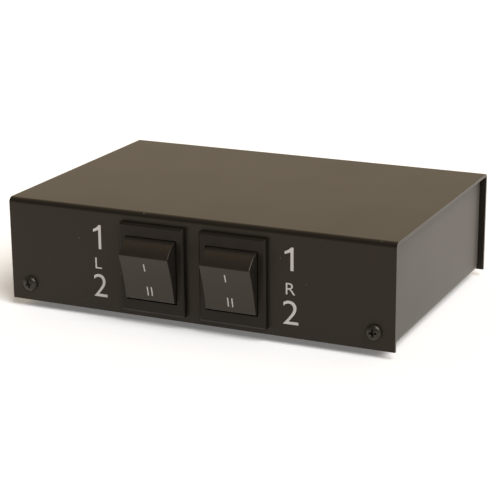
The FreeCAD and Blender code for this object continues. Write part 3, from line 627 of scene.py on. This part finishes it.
# Printed marks: plain numbers and a letter for the channel on the panel, strokes on the rockers.
# Places on the panel are the left, right, lower and upper edges in millimetres. Places on a rocker
# are in millimetres from its pivot, along its own axes. The flag of the number one is in shares of
# the figure's width and height, and the flat of its top is a share of its bar.
marks = {"proud": 0.03 * mm, "sunk": 0.05 * mm, "thinner": -0.006,
         "panel": {"leftOne": ("1", -40.6, -37.4, 26.4, 35.5), "leftLetter": ("L", -40.1, -37.4, 18.9, 23.0),
                   "leftTwo": ("2", -41.0, -35.5, 8.2, 16.8), "rightOne": ("1", 35.2, 38.5, 27.5, 36.0),
                   "rightLetter": ("R", 35.6, 39.1, 18.8, 23.0), "rightTwo": ("2", 34.5, 40.3, 7.9, 16.6)},
         "oneBar": 0.34, "oneTop": 0.72, "flagShoulder": (0.4, 0.88), "flagEnd": (0.69, 0.8),
         "flagRoot": 0.79,
         "strokeWidth": 0.45, "strokeSteps": 4, "upperStroke": (3.15, 6.2), "upperMiddle": -0.2475,
         "lowerStrokes": (-7.0, -3.4), "lowerMiddle": 0.35, "strokeGap": 1.65,
         "faceDepth": 7.939, "dishRadius": 90.16}


def oneOutline(wide, tall):
    # the number one as a plain bar with a flag, (x, z) from its lower left corner
    m = marks
    bar = wide * m["oneBar"]
    shoulderX, shoulderZ = m["flagShoulder"]
    endLow, endHigh = m["flagEnd"]
    return [(wide - bar, 0), (wide, 0), (wide, tall), (wide - bar * m["oneTop"], tall),
            (wide * shoulderX, tall * shoulderZ), (0, tall * endHigh), (0, tall * endLow),
            (wide - bar, tall * m["flagRoot"])]


def flatMark(text, wide, tall):
    # a flat figure of that size standing on the X axis
    if text == "1":
        bm = bmesh.new()
        bm.faces.new([bm.verts.new((x, 0, z)) for x, z in oneOutline(wide, tall)])
    else:
        curve = bpy.data.curves.new("figure", "FONT")
        curve.body = text
        curve.resolution_u = 6
        curve.offset = marks["thinner"]
        bm = meshOf(curve)
        low, high = boxOf([v.co for v in bm.verts])
        for v in bm.verts:
            v.co = Vector(((v.co.x - low.x) / (high.x - low.x) * wide, 0,
                           (v.co.y - low.y) / (high.y - low.y) * tall))
    for face in bm.faces:
        if face.normal.y > 0:
            face.normal_flip()
    return bm


def makePanelMarks():
    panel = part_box("cover")[0].y
    for name, (text, x0, x1, z0, z1) in marks["panel"].items():
        bm = flatMark(text, (x1 - x0) * mm, (z1 - z0) * mm)
        thicken(bm, marks["proud"] + marks["sunk"])
        bmesh.ops.translate(bm, vec=(x0 * mm, panel - marks["proud"], z0 * mm), verts=bm.verts)
        finishPiece(name, bm, slotOf["cover"], finish="printed_ink")


def addStroke(bm, middle, bottom, top):
    # one stroke that follows the rocker's dished face
    m = marks
    half = m["strokeWidth"] / 2
    corners = []
    for step in range(m["strokeSteps"] + 1):
        height = bottom + (top - bottom) * step / m["strokeSteps"]
        dip = m["dishRadius"] - math.sqrt(m["dishRadius"] ** 2 - height ** 2)
        corners.append((height, -m["faceDepth"] - dip))
    for (z0, y0), (z1, y1) in zip(corners, corners[1:]):
        bm.faces.new([bm.verts.new(Vector(place) * mm) for place in (
            (middle - half, y0, z0), (middle + half, y0, z0), (middle + half, y1, z1),
            (middle - half, y1, z1))])


def makeRockerMarks():
    m = marks
    for side in ("left", "right"):
        bm = bmesh.new()
        addStroke(bm, m["upperMiddle"], *m["upperStroke"])
        for way in (-0.5, 0.5):
            addStroke(bm, m["lowerMiddle"] + way * m["strokeGap"], *m["lowerStrokes"])
        bmesh.ops.remove_doubles(bm, verts=bm.verts, dist=samePlace)
        bmesh.ops.translate(bm, vec=(0, -m["proud"], 0), verts=bm.verts)
        thicken(bm, m["proud"] + m["sunk"])
        turn = Matrix.Rotation(math.radians(switch["rockerTurn"]), 4, "X")
        bmesh.ops.transform(bm, matrix=Matrix.Translation(rockerPivot(side)) @ turn, verts=bm.verts)
        finishPiece(side + "RockerMarks", bm, slotOf[side + "_rocker"], body=side + "_rocker",
                    finish="printed_ink")


makePanelMarks()
makeRockerMarks()
print("switches and printed marks made")

# Binding posts: a hollow stud on a hexagonal shoulder, a clamp washer and a fluted cap. The cap's
# two ends are in shares of its edge, inwards and away from the end.
post = {"studRadius": 3 * mm, "socketRadius": 2 * mm, "socketDepth": 14 * mm, "edge": 0.25 * mm,
        "shoulderRadius": 4.9 * mm, "shoulderThick": 1.2 * mm, "shoulderEdge": 0.2 * mm,
        "threadDepth": 0.3 * mm, "pitch": 1 * mm, "threadedTail": 4.2 * mm, "studSides": 24,
        "washerRadius": 4.9 * mm, "bore": 3.15 * mm, "washerEdge": 0.25 * mm, "washerSides": 40,
        "capRadius": 5.5 * mm, "capEdge": 0.5 * mm, "collar": 1.6 * mm, "grooveSide": 0.2 * mm,
        "grooveDepth": 0.15 * mm, "fluteRun": 0.5 * mm, "fluteDepth": 0.55 * mm, "flutes": 18,
        "stepsPerFlute": 6, "boreEdge": 0.4 * mm, "nearEnd": ((0.5, 0), (0, 0.3)),
        "farEnd": ((0, 1.6), (0.15, 0.8), (0.5, 0.3), (1.2, 0)), "sharpAngle": 42}


def threadDown(top, bottom):
    # a stud's threaded outline from top down to the last whole turn above bottom
    p = post
    outline = []
    while top > bottom + p["pitch"]:
        outline += [(p["studRadius"] - p["threadDepth"], top - p["pitch"] / 2),
                    (p["studRadius"], top - p["pitch"])]
        top -= p["pitch"]
    return outline


def makeShoulder(board):
    p = post
    bm = bmesh.new()
    bmesh.ops.create_circle(bm, cap_ends=True, segments=6, radius=p["shoulderRadius"],
                            matrix=Matrix.Translation((0, board, 0)) @ Matrix.Rotation(math.pi / 2, 4, "X"))
    thicken(bm, p["shoulderThick"])
    softenEdges(bm, p["shoulderEdge"])
    return bm


def makeStuds():
    p = post
    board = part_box("terminal_board")[1].y
    low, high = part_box("post_studs")
    tail, tip = low.y, high.y
    outline = [(0, tip - p["socketDepth"]), (p["socketRadius"], tip - p["socketDepth"]),
               (p["socketRadius"], tip - p["edge"]), (p["socketRadius"] + p["edge"], tip),
               (p["studRadius"] - p["edge"], tip), (p["studRadius"], tip - p["edge"])]
    outline += threadDown(tip - p["edge"], board + p["shoulderThick"])
    outline.append((p["studRadius"], tail + p["threadedTail"]))
    outline += threadDown(tail + p["threadedTail"], tail)
    outline += [(p["studRadius"] - p["threadDepth"], tail), (0, tail)]
    stud = turned(outline, p["studSides"])
    addShape(stud, makeShoulder(board))
    places = []
    for corners in solidsOf("post_studs"):
        solidLow, solidHigh = boxOf(corners)
        middle = (solidLow + solidHigh) / 2
        places.append(Matrix.Translation((middle.x, 0, middle.z)))
    replaceNode("post_studs", placeCopies(stud, places))


def makeWasher(near, far):
    p = post
    r, e = p["washerRadius"], p["washerEdge"]
    m = 0.3 * e    # how far the middle of a rounding is in from both its faces
    return turned([(p["bore"], near), (r - e, near), (r - m, near + m), (r, near + e), (r, far - e),
                   (r - m, far - m), (r - e, far), (p["bore"], far)], p["washerSides"])


def makeCap(near, far):
    # turned plain from near to far along Y, and then its flutes are pressed in past the collar
    p = post
    e, r, groove = p["capEdge"], p["capRadius"], near + p["collar"]
    outline = [(p["bore"], near)]
    outline += [(r - inward * e, near + away * e) for inward, away in p["nearEnd"]]
    outline += [(r, groove - p["grooveSide"]), (r - p["grooveDepth"], groove), (r, groove + p["fluteRun"])]
    outline += [(r - inward * e, far - away * e) for inward, away in p["farEnd"]]
    outline += [(p["bore"] + p["boreEdge"], far), (p["bore"], far - p["boreEdge"])]
    bm = turned(outline, p["flutes"] * p["stepsPerFlute"])
    endRun = p["farEnd"][0][1] * e
    for v in bm.verts:
        reach = math.hypot(v.co.x, v.co.z)
        if reach < r - e:
            continue
        share = min(1, max(0, (v.co.y - groove) / p["fluteRun"]), (far - v.co.y) / endRun)
        press = share * p["fluteDepth"] * (1 - math.cos(p["flutes"] * math.atan2(v.co.z, v.co.x))) / 2
        v.co.x *= 1 - press / reach
        v.co.z *= 1 - press / reach
    return bm


def makeWashersAndCaps():
    for node in nodes:
        if not node.endswith(("_washer", "_cap")):
            continue
        low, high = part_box(node)
        bm = makeWasher(low.y, high.y) if node.endswith("_washer") else makeCap(low.y, high.y)
        bmesh.ops.translate(bm, vec=((low.x + high.x) / 2, 0, (low.z + high.z) / 2), verts=bm.verts)
        replaceNode(node, bm, sharpAngle=post["sharpAngle"])


makeStuds()
makeWashersAndCaps()

# Nuts, tags, connectors, levers and blades: the frame's own shapes with their edges broken
brokenEdges = {"post_nuts": 0.3 * mm, "board_nuts": 0.2 * mm, "solder_tags": 0.1 * mm,
               "push_on_connectors": 0.4 * mm,
               "left_common_blades": 0.12 * mm, "right_common_blades": 0.12 * mm,
               "left_throw_blades": 0.12 * mm, "right_throw_blades": 0.12 * mm,
               "left_plus_lever": 0.15 * mm, "left_minus_lever": 0.15 * mm,
               "right_plus_lever": 0.15 * mm, "right_minus_lever": 0.15 * mm}


def makeSmallParts():
    for node, width in brokenEdges.items():
        bm = cadCopy(node)
        softenEdges(bm, width, angle=50)
        replaceNode(node, bm)


makeSmallParts()

# Contact rivets: low domes, on the levers and on the throw blades. The outline is in shares of the
# radius and the height, from the seat to the dome.
rivet = {"radius": 1.45 * mm, "height": 0.8 * mm, "leverTurn": -7, "sides": 24,
         "dome": ((0, -0.5), (1, -0.5), (1, 0.1), (0.85, 0.36), (0.5, 0.48), (0, 0.5))}


def makeRivets():
    for node in nodes:
        if not node.endswith("_contacts"):
            continue
        # the levers' domes face back and lean with the lever, and the blades' domes face forward
        onLever = "moving" in node
        way = rivet["height"] if onLever else -rivet["height"]
        dome = turned([(rivet["radius"] * out, way * along) for out, along in rivet["dome"]], rivet["sides"])
        turn = Matrix.Rotation(math.radians(rivet["leverTurn"]) if onLever else 0, 4, "X")
        places = [Matrix.Translation(middleOf(corners)) @ turn for corners in solidsOf(node)]
        replaceNode(node, placeCopies(dome, places))


makeRivets()

# Plungers and their coil springs, drawn along the rocker's own axis. The tip's outline is in shares
# of the radius and of the tip's length.
plunger = {"radius": 1.5 * mm, "from": 0.5 * mm, "to": 12.5 * mm, "tip": 0.9 * mm, "sides": 24,
           "tipOutline": ((1, 1), (0.85, 0.45), (0.5, 0.1), (0, 0))}
spring = {"from": -6.5 * mm, "to": 0.5 * mm, "radius": 1.2 * mm, "wire": 0.2 * mm, "turns": 8,
          "stepsPerTurn": 16}


def makePlunger():
    p = plunger
    outline = [(0, p["from"]), (p["radius"], p["from"])]
    outline += [(p["radius"] * out, p["to"] - back * p["tip"]) for out, back in p["tipOutline"]]
    return turned(outline, p["sides"])


def makeSpring():
    s = spring
    coil = bpy.data.curves.new("coil", "CURVE")
    coil.dimensions = "3D"
    coil.bevel_depth = s["wire"]
    coil.bevel_resolution = 2
    coil.use_fill_caps = True
    steps = s["turns"] * s["stepsPerTurn"]
    line = coil.splines.new("POLY")
    line.points.add(steps)
    for i, point in enumerate(line.points):
        angle = fullTurn * i / s["stepsPerTurn"]
        rise = s["from"] + s["wire"] + (s["to"] - s["from"] - 2 * s["wire"]) * i / steps
        point.co = (s["radius"] * math.cos(angle), rise, s["radius"] * math.sin(angle), 1)
    return meshOf(coil)


def makePlungers():
    turn = Matrix.Rotation(math.radians(switch["rockerTurn"]), 4, "X")
    for side in ("left", "right"):
        pivot = rockerPivot(side)
        places = [Matrix.Translation((middleOf(corners).x, pivot.y, pivot.z)) @ turn
                  for corners in solidsOf(side + "_plungers")]
        replaceNode(side + "_plungers", placeCopies(makePlunger(), places))
        replaceNode(side + "_plunger_springs", placeCopies(makeSpring(), places))


makePlungers()
print("posts and contact work made")

# Hook-up wires: round, straight out of the connector and straight into the tag
wire = {"radius": 0.85 * mm, "frontLead": 8 * mm, "rearLead": 10 * mm, "sharpAngle": 60}


def makeWire(first, last):
    curve = bpy.data.curves.new("hookUpWire", "CURVE")
    curve.dimensions = "3D"
    curve.bevel_depth = wire["radius"]
    curve.bevel_resolution = 4
    curve.resolution_u = 16
    curve.use_fill_caps = True
    route = (first, first + Vector((0, wire["frontLead"], 0)), last - Vector((0, wire["rearLead"], 0)), last)
    line = curve.splines.new("NURBS")
    line.points.add(len(route) - 1)
    for point, place in zip(line.points, route):
        point.co = (*place, 1)
    line.order_u = 3
    line.use_endpoint_u = True
    return meshOf(curve)


def makeWires():
    for node in ("red_wires", "black_wires"):
        group = bmesh.new()
        for corners in solidsOf(node):
            low, high = boxOf(corners)
            first = middleOf([corner for corner in corners if corner.y < low.y + samePlane])
            last = middleOf([corner for corner in corners if corner.y > high.y - samePlane])
            addShape(group, makeWire(first, last))
        replaceNode(node, group, sharpAngle=wire["sharpAngle"])


makeWires()
print("wires made")
